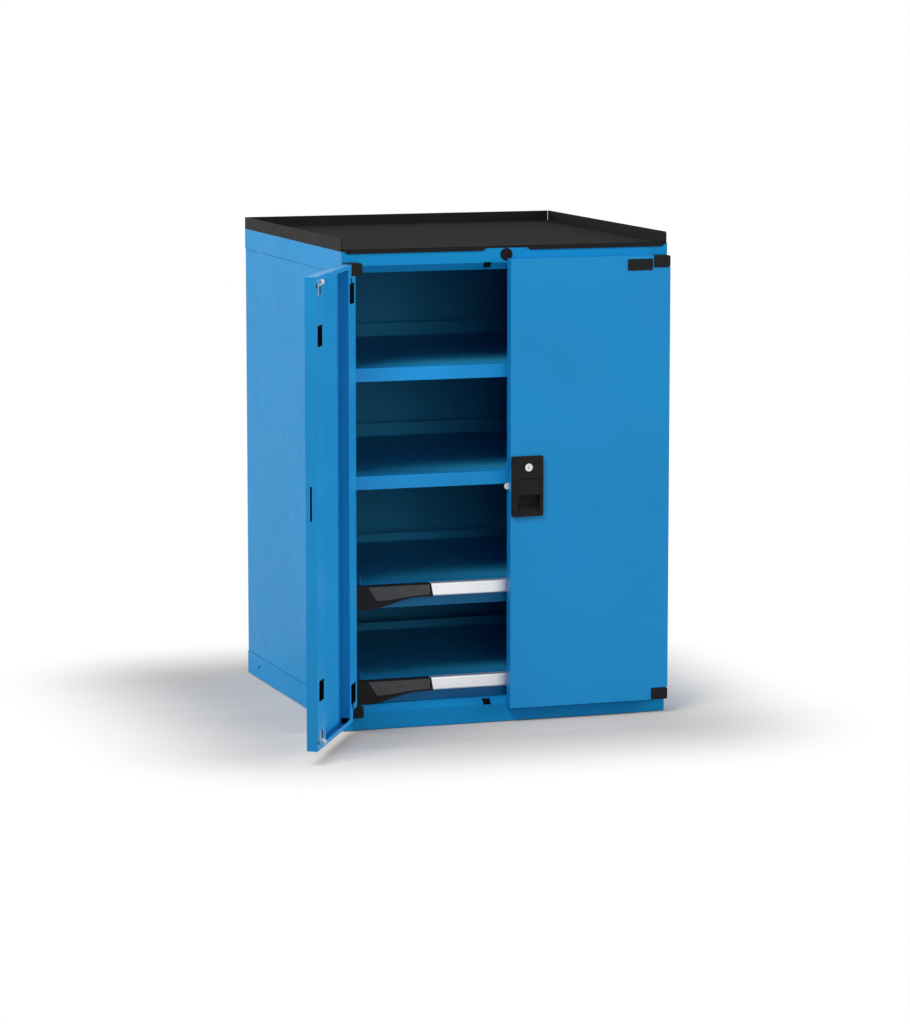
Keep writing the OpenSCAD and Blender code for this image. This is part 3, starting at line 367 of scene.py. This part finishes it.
def turned_steel(name, colour, rough=0.3):
    """Bright steel with fine machining lines."""
    metal = Finish(bpy.data.materials.new(name))
    lines = metal.streaks(TURNED_LINES, 2)
    gloss = metal.spread(lines, rough - 0.05, rough + 0.07)
    return metal.surface(base_color=metal.shades(metal.spread(lines), colour, 0.93, 1.05),
                         roughness=gloss, metallic=0.95,
                         normal=metal.bump(lines, 0.08, LINE_DEPTH))


BLUE = (0.008, 0.262, 0.592)
# A lighter, greener blue deep inside: painted light for the bounced light there.
BLUE_INSIDE_PAINTED_LIGHT = (0.030, 0.385, 0.665)
# A lighter blue for the shelves: painted light on their front flanges.
SHELF_FRONT_PAINTED_LIGHT = (0.012, 0.345, 0.780)
# A darker blue for a pull-out's front face: painted shade of its bar.
PULLOUT_FRONT_PAINTED_SHADE = (0.006, 0.165, 0.370)
# Near black: painted shade in the door channels and in the side pits.
PAINTED_SHADE_BLACK = (0.0035, 0.0040, 0.0045)
TRAY_BLACK = (0.0125, 0.0125, 0.0130)
PLASTIC_BLACK = (0.0100, 0.0100, 0.0104)
PLUG_BLACK = (0.00625, 0.00625, 0.00650)
MAT_BLACK = (0.0115, 0.0115, 0.0115)
RIB_PITCH = 3.2 * MM

blue_paint = powder_coat("blue powder coat", BLUE, shine=0.07, pits=SIDE_PITS)
inside_paint = powder_coat("blue powder coat inside", BLUE, deep=BLUE_INSIDE_PAINTED_LIGHT)
shelf_paint = powder_coat("blue powder coat shelves", SHELF_FRONT_PAINTED_LIGHT, deep=BLUE_INSIDE_PAINTED_LIGHT)
pullout_paint = powder_coat("blue powder coat pull-outs", BLUE, deep=BLUE_INSIDE_PAINTED_LIGHT,
                            front=PULLOUT_FRONT_PAINTED_SHADE)
# The door paints darken their hollow channels: painted shade.
left_door_paint = powder_coat("blue powder coat left door", BLUE, door={
    "Rotation": (0, 0, DOOR_OPEN), "Location": closing_move()})
right_door_paint = powder_coat("blue powder coat right door", BLUE, door={
    "Scale": (-1, 1, 1)})
black_paint = powder_coat("black powder coat", TRAY_BLACK, rough=0.55, peel=0.16, shine=0.05)
black_plastic = grained_plastic("black moulded plastic", PLASTIC_BLACK)
# The lock housing's paint holds a painted shade line round the paddle.
housing_plastic = grained_plastic("black moulded plastic lock", PLASTIC_BLACK,
                                  gap_shade=gap_shade_round("paddle"))
# This black also serves the dark plates in the catch slots, which are painted shade.
plug_plastic_and_slot_shade = grained_plastic("black moulded plastic plug", PLUG_BLACK, shine=0.08)
grey_plastic = grained_plastic("dark grey moulded plastic", (0.066, 0.066, 0.066), shine=0.2)
white_nylon = grained_plastic("white nylon", (0.74, 0.74, 0.72), rough=0.4, grain=0.08)
mat_rubber = ribbed_rubber("ribbed black rubber", MAT_BLACK, RIB_PITCH)
aluminium = drawn_aluminium("anodised aluminium", (0.86, 0.865, 0.87))
zinc = zinc_sheet("galvanised sheet", (0.58, 0.59, 0.6))
steel = turned_steel("bright steel", (0.62, 0.62, 0.61))
satin_nickel = turned_steel("satin nickel", (0.66, 0.655, 0.64), rough=0.36)
worn_nickel = turned_steel("worn nickel", (0.30, 0.30, 0.295), rough=0.42)

# The usual finish of each material slot, and the nodes that have another one.
FINISHES = {
    "blue_side": blue_paint, "blue_front": blue_paint,
    "black_plastic": black_plastic, "grey_plastic": grey_plastic,
    "rubber_mat": mat_rubber, "zinc_steel": zinc, "steel": steel,
    "nickel": satin_nickel, "aluminium": aluminium, "white_plastic": white_nylon,
}
OTHER_COATS = {
    "top_tray": black_paint, "lock_housing": housing_plastic,
    "lock_hole_plug": plug_plastic_and_slot_shade, "catch_axles": plug_plastic_and_slot_shade,
    "shelf_upper": shelf_paint, "shelf_lower": shelf_paint,
    "pullout_upper_tray": pullout_paint, "pullout_lower_tray": pullout_paint,
    "bottom_panel": inside_paint, "back_panel": inside_paint,
    "left_door_skin": left_door_paint, "left_hinge_channel": left_door_paint,
    "left_lock_channel": left_door_paint, "right_door_skin": right_door_paint,
    "right_hinge_channel": right_door_paint, "right_lock_channel": right_door_paint,
}

# Widths of the rounded edges in mm, by a word in the node's name.
SOFT_EDGES = {
    "lock_housing": 0.9, "paddle": 0.6, "hinge_block": 0.8, "cap_left": 1.2,
    "cap_right": 1.0, "lever": 0.7, "key_barrel": 0.4, "latch_hook": 0.4,
    "tray_mat": 0.6,
}
FOLDED_EDGE = 0.45
# Edges that turn less than this stay sharp, because they are facets of a round form.
LEAST_TURN = math.radians(35)


def soften(piece, width):
    """Rounds the piece's edges."""
    edge = piece.modifiers.new("soft edges", "BEVEL")
    edge.width = width
    edge.segments = 2
    edge.limit_method = "ANGLE"
    edge.angle_limit = LEAST_TURN
    edge.harden_normals = True
    edge.miter_outer = "MITER_ARC"


def dress_nodes():
    """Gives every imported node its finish, and soft edges to what is folded or moulded."""
    for part in frame["record"]["subparts"]:
        name = part["node"]
        shown = frame["nodes"][name]
        coat = OTHER_COATS.get(name) or FINISHES[part["material_slot"]]
        for place in shown.material_slots:
            place.material = coat
        widths = [width for word, width in SOFT_EDGES.items() if word in name]
        soften(shown, (widths or [FOLDED_EDGE])[0] * MM)


# ---- forms of small parts ----

def new_piece(name, build, body, coat):
    """Makes a piece from a function that fills a bmesh, and hangs it on a body."""
    mesh = bpy.data.meshes.new(name)
    work = bmesh.new()
    build(work)
    bmesh.ops.recalc_face_normals(work, faces=work.faces)
    work.to_mesh(mesh)
    work.free()
    piece = bpy.data.objects.new(name, mesh)
    bpy.context.scene.collection.objects.link(piece)
    mesh.materials.append(coat)
    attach(piece, body)
    return piece


def rounded_outline(width, height, radius, steps=6):
    """Points of a rectangle with round corners about the origin."""
    points = []
    for turn, (sx, sy) in enumerate(((1, 1), (-1, 1), (-1, -1), (1, -1))):
        middle = Vector((sx * (width / 2 - radius), sy * (height / 2 - radius)))
        for step in range(steps + 1):
            angle = math.pi / 2 * (turn + step / steps)
            points.append(middle + radius * Vector((math.cos(angle), math.sin(angle))))
    return points


def moved(outline, x, z):
    """The outline's points as pairs, moved to a new middle."""
    return [(point.x + x, point.y + z) for point in outline]


def add_rings(work, rings):
    """Turns rings of points into rings of vertices."""
    return [[work.verts.new(point) for point in ring] for ring in rings]


def join(work, lower, upper):
    """A band of faces between two rings of equal length."""
    for i in range(len(lower)):
        j = (i + 1) % len(lower)
        work.faces.new((lower[i], lower[j], upper[j], upper[i]))


def stack_rings(work, rings):
    """Joins rings of equal length into a closed skin with flat ends."""
    loops = add_rings(work, rings)
    for lower, upper in zip(loops, loops[1:]):
        join(work, lower, upper)
    work.faces.new(loops[0])
    work.faces.new(loops[-1])


def turned_ring(work, middle, profile, steps=64):
    """A ring about an axis along Y: profile holds pairs of radius and height, in metres."""
    turns = [2 * math.pi * step / steps for step in range(steps)]
    rings = []
    for radius, rise in profile:
        rings.append([(middle.x + radius * math.cos(turn), middle.y - rise,
                       middle.z + radius * math.sin(turn)) for turn in turns])
    loops = add_rings(work, rings)
    for one, two in zip(loops, loops[1:] + loops[:1]):
        join(work, one, two)


def prism(work, place, axis, outline, depths):
    """A solid between two depths along an axis, in mm.

    The outline's points hold the other two coordinates, and place turns all three into
    a point of the scene.
    """
    stack_rings(work, [[place(*point[:axis], depth, *point[axis:]) for point in outline]
                       for depth in depths])


def in_metres(x, y, z):
    return Vector((x, y, z)) * MM


def barrel_middle():
    """The middle of the key barrel's front."""
    low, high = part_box("key_barrel")
    return (low.x + high.x) / 2, low.y, (low.z + high.z) / 2


# ---- badge plate and key ----

# The plate's middle in X and Z, its width and height, its corner's radius, and its edge
# as pairs of inset and rise above the door, all in mm.
BADGE_MIDDLE = (289.0, 957.6)
BADGE_SIZE = (56, 24.2)
BADGE_CORNER = 2
LEAST_CORNER = 0.1
BADGE_PROFILE = ((0, 0), (0, 0.7), (0.3, 1.0), (1.1, 1.0), (1.4, 0.7))
# The ring round the key, as pairs of radius and rise above the lock housing, in mm.
KEY_RING_PROFILE = ((8.6, -0.4), (8.6, 0.2), (9.1, 0.45), (10.1, 0.45), (10.6, 0.0),
                    (10.6, -0.4))
# The shutter's width, height and corner, and its depths behind the barrel's front, in mm.
SHUTTER_FORM = (1.5, 7.8, 0.3)
SHUTTER_DEPTHS = (0.6, 1.4)


def badge_place():
    """The bare black plate on the right door, with a low frame round it."""
    x, z = BADGE_MIDDLE
    middle = Vector((x * MM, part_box("right_door_skin")[0].y, z * MM))
    width, height = (size * MM for size in BADGE_SIZE)

    def build(work):
        rings = []
        for inset, rise in BADGE_PROFILE:
            inset *= MM
            corner = max(BADGE_CORNER * MM - inset, LEAST_CORNER * MM)
            ring = rounded_outline(width - 2 * inset, height - 2 * inset, corner)
            rings.append([(px, middle.y - rise * MM, pz)
                          for px, pz in moved(ring, middle.x, middle.z)])
        stack_rings(work, rings)
    new_piece("badge_place", build, "right_door", black_plastic)


def key_ring():
    """The raised black ring round the key barrel."""
    x, _, z = barrel_middle()
    middle = Vector((x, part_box("lock_housing")[0].y, z))
    profile = [(radius * MM, rise * MM) for radius, rise in KEY_RING_PROFILE]

    def build(work):
        turned_ring(work, middle, profile)
    new_piece("key_ring", build, "right_door", plug_plastic_and_slot_shade)


def key_shutter():
    """The small shutter just inside the keyhole."""
    middle = Vector(barrel_middle()) / MM
    width, height, corner = SHUTTER_FORM

    def build(work):
        outline = moved(rounded_outline(width, height, corner, 2), middle.x, middle.z)
        prism(work, in_metres, Y, outline, [middle.y + depth for depth in SHUTTER_DEPTHS])
    new_piece("key_shutter", build, "key", worn_nickel)


# ---- catches, in mm, as the shut left door has them ----

# The lower catch is the upper one's mirror image about this height.
MIDDLE_Z = 503.0
# The catches' middle along X, the face of the channel behind them, and the upper
# roller's axle in Y and Z.
CATCH_X = -41.0
CATCH_FACE = -364.0
ROLLER = (-361.5, 963.8)

# The keeper cups: their wings in Y and Z, half their width, back and sheet.
KEEPER_LOW = ((-344.0, 48.4), (-348.8, 47.4), (-357.0, 39.0), (-357.0, 30.0), (-344.0, 24.0))
KEEPER_HIGH = ((-344.0, 957.8), (-348.8, 958.2), (-357.0, 967.8), (-357.0, 975.0),
               (-344.0, 981.0))
CUP_HALF = 11.5
CUP_BACK = -344.0
CUP_SHEET = 0.8

# The clip's ears turn clockwise round the axle, and end in a foot on the channel.
EAR_RADIUS = 2.9
EAR_START = 220
EAR_SWEEP = 260
EAR_STEPS = 16
EAR_FOOT = ((CATCH_FACE + 2.2, 957.0), (CATCH_FACE + 0.1, 957.0))
EAR_HALF = 5.5
EAR_SHEET = 0.8
# The clip's foot strip in X and Z, and its sheet.
STRIP = ((-46.5, 956.0), (-46.5, 959.0), (-24.5, 959.5), (-24.5, 937.0), (-30.3, 937.0),
         (-30.3, 956.0))
STRIP_SHEET = 0.9
CLIP_EDGE = 0.25

# Slots of the channel round the upper catch, filled with dark plates as painted shade: low and
# high X, low and high Z.
SLOTS = ((-44.0, -31.0, 939.0, 955.5), (-12.5, -5.0, 954.0, 963.5),
         (-8.5, -5.5, 924.0, 927.0))
SLOT_CORNER = 1.4
SLOT_DEPTHS = (CATCH_FACE - 0.2, CATCH_FACE + 0.3)


def keeper_cups():
    """Black folded cups behind the two holes that the rollers drop into."""
    left, right = CATCH_X - CUP_HALF, CATCH_X + CUP_HALF

    def build(work):
        for wing in (KEEPER_LOW, KEEPER_HIGH):
            for x in (left, right - CUP_SHEET):
                prism(work, in_metres, X, wing, (x, x + CUP_SHEET))
            low, high = min(z for _, z in wing), max(z for _, z in wing)
            front = CUP_BACK - CUP_SHEET
            back = ((front, low), (CUP_BACK, low), (CUP_BACK, high), (front, high))
            prism(work, in_metres, X, back, (left, right))
    new_piece("keeper_cups", build, "cabinet", black_plastic)


def on_open_door(x, y, z):
    """A point of the shut left door, in mm, where the open door has it."""
    pin = Vector((*HINGE_PIN, 0))
    return pin + Matrix.Rotation(-DOOR_OPEN, 3, "Z") @ (in_metres(x, y, z) - pin)


def at_lower_catch(x, y, z):
    """The same for a point's mirror image at the lower catch."""
    return on_open_door(x, y, 2 * MIDDLE_Z - z)


def both_catches(build_one):
    """Builds a form at the upper catch, and its mirror image at the lower one."""
    def build(work):
        for place in (on_open_door, at_lower_catch):
            build_one(work, place)
    return build


def catch_clips():
    """Steel clips that hold the rollers: a foot strip and a round ear on each side."""
    angles = [math.radians(EAR_START - EAR_SWEEP * step / EAR_STEPS)
              for step in range(EAR_STEPS + 1)]
    ear = [(ROLLER[0] + EAR_RADIUS * math.cos(angle), ROLLER[1] + EAR_RADIUS * math.sin(angle))
           for angle in angles]

    def clip(work, place):
        for x in (CATCH_X - EAR_HALF, CATCH_X + EAR_HALF - EAR_SHEET):
            prism(work, place, X, [*ear, *EAR_FOOT], (x, x + EAR_SHEET))
        prism(work, place, Y, STRIP, (CATCH_FACE, CATCH_FACE + STRIP_SHEET))
    clips = new_piece("catch_clips", both_catches(clip), "left_door", steel)
    soften(clips, CLIP_EDGE * MM)
    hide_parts("catch_springs")


def catch_slots():
    """Dark plates in the slots beside the clips, and the edge stops of the channel: painted
    shade, a dark sheet where the slots show only shade.
    """
    def slots(work, place):
        for low_x, high_x, low_z, high_z in SLOTS:
            outline = rounded_outline(high_x - low_x, high_z - low_z, SLOT_CORNER, 4)
            outline = moved(outline, (low_x + high_x) / 2, (low_z + high_z) / 2)
            prism(work, place, Y, outline, SLOT_DEPTHS)
    new_piece("catch_slots", both_catches(slots), "left_door", plug_plastic_and_slot_shade)


# ---- floor, light and camera ----

AMBIENT = 0.15
# The floor's colour as the camera sees it, and the share of light that it gives back.
FLOOR_SEEN = (0.695, 0.640, 0.595)
FLOOR_BOUNCE = 0.40
FLOOR_STREAKS = (1.2, 14.0, 0.0)
FLOOR_HALF = 30
FLOOR_DROP = 1.5 * MM
# The floor keeps its colour within a box, and is white this far outside it.
FADE_MIDDLE = (-0.095, -0.095, 0.0)
FADE_HALF = (0.365, 0.375, 1.0)
FADE_WIDTH = 0.50

# Square lamps, aimed at the cabinet's middle: place, size and watts.
LAMPS = {
    "above left": ((-2.5, -2.5, 4.0), 2.0, 150),
    "behind left": ((-6.0, 2.5, 2.0), 3.0, 205),
    "right": ((6.0, -2.0, 1.8), 2.5, 318),
    "front": ((-1.0, -7.0, 1.5), 2.5, 57),
}
LAMP_AIM = Vector((0, 0, 0.5))

# Turn to the right and tilt down in degrees, lens in mm.
CAMERA_PLACE = (-2.7485, -8.128, 1.6126)
CAMERA_TURN = 18.7476
CAMERA_TILT = 8.0723
CAMERA_LENS = 139.64
CAMERA_REACH = 100


def seen_directly(finish):
    """1 for the camera's own rays and those of reflections, 0 for soft light."""
    camera, glossy, transmission = [
        finish.add("ShaderNodeLightPath", {}, {}, f"Is {ray} Ray")
        for ray in ("Camera", "Glossy", "Transmission")]
    return camera.maths("MAXIMUM", glossy).maths("MAXIMUM", transmission)


def white_world():
    """Soft even light from all round, white where the camera or a reflection sees it."""
    world = bpy.data.worlds.new("studio")
    bpy.context.scene.world = world
    sky = Finish(world)
    strength = seen_directly(sky) * (1 - AMBIENT) + AMBIENT
    light = sky.add("ShaderNodeBackground", {}, {"Color": grey(1), "Strength": strength})
    sky.add("ShaderNodeOutputWorld", {}, {"Surface": light})


def pale_floor():
    """The floor's finish: pale and matt near the cabinet, pure white farther out."""
    pale = Finish(bpy.data.materials.new("studio floor"))
    beside = pale.vector("ABSOLUTE", pale.vector("SUBTRACT", pale.place, FADE_MIDDLE))
    beside = pale.vector("MAXIMUM", pale.vector("SUBTRACT", beside, FADE_HALF), (0, 0, 0))
    outside = pale.vector("LENGTH", beside, output="Value")
    away = pale.between(outside, 0.0, FADE_WIDTH, curve="SMOOTHSTEP")
    streaks = pale.spread(pale.streaks(FLOOR_STREAKS, 4))
    seen = seen_directly(pale)
    colours = pale.blend(seen, grey(FLOOR_BOUNCE),
                         pale.shades(streaks, FLOOR_SEEN, 0.955, 1.03))
    matt = pale.add("ShaderNodeBsdfDiffuse", {}, {"Color": colours})
    white = pale.add("ShaderNodeEmission", {}, {"Color": grey(1), "Strength": 1.0})
    mixed = pale.add("ShaderNodeMixShader", {}, [away * seen, matt, white])
    pale.add("ShaderNodeOutputMaterial", {}, {"Surface": mixed})
    return pale.owner


def studio_floor():
    """A pale floor that keeps the shadow near the cabinet and fades to white."""
    mesh = bpy.data.meshes.new("studio_floor")
    work = bmesh.new()
    bmesh.ops.create_grid(work, x_segments=1, y_segments=1, size=FLOOR_HALF)
    work.to_mesh(mesh)
    work.free()
    floor = bpy.data.objects.new("studio_floor", mesh)
    bpy.context.scene.collection.objects.link(floor)
    floor.location.z = -FLOOR_DROP
    mesh.materials.append(pale_floor())


def studio_lamps():
    """Large soft lamps, each aimed at the cabinet."""
    for name, (place, size, power) in LAMPS.items():
        lamp = bpy.data.lights.new(name, "AREA")
        lamp.shape = "SQUARE"
        lamp.size = size
        lamp.energy = power
        holder = bpy.data.objects.new(name, lamp)
        holder.location = place
        aim = LAMP_AIM - Vector(place)
        holder.rotation_euler = aim.to_track_quat("-Z", "Y").to_euler()
        bpy.context.scene.collection.objects.link(holder)


def photo_camera():
    """Stands where the photograph was taken from."""
    lens = bpy.data.cameras.new("camera")
    lens.lens = CAMERA_LENS
    lens.clip_end = CAMERA_REACH
    camera = bpy.data.objects.new("camera", lens)
    camera.location = CAMERA_PLACE
    camera.rotation_euler = (math.radians(90 - CAMERA_TILT), 0, math.radians(-CAMERA_TURN))
    bpy.context.scene.collection.objects.link(camera)
    bpy.context.scene.camera = camera


bpy.context.scene.view_settings.view_transform = "Standard"
photo_camera()
white_world()
studio_floor()
studio_lamps()
dress_nodes()
badge_place()
key_ring()
keeper_cups()
catch_clips()
catch_slots()
key_shutter()
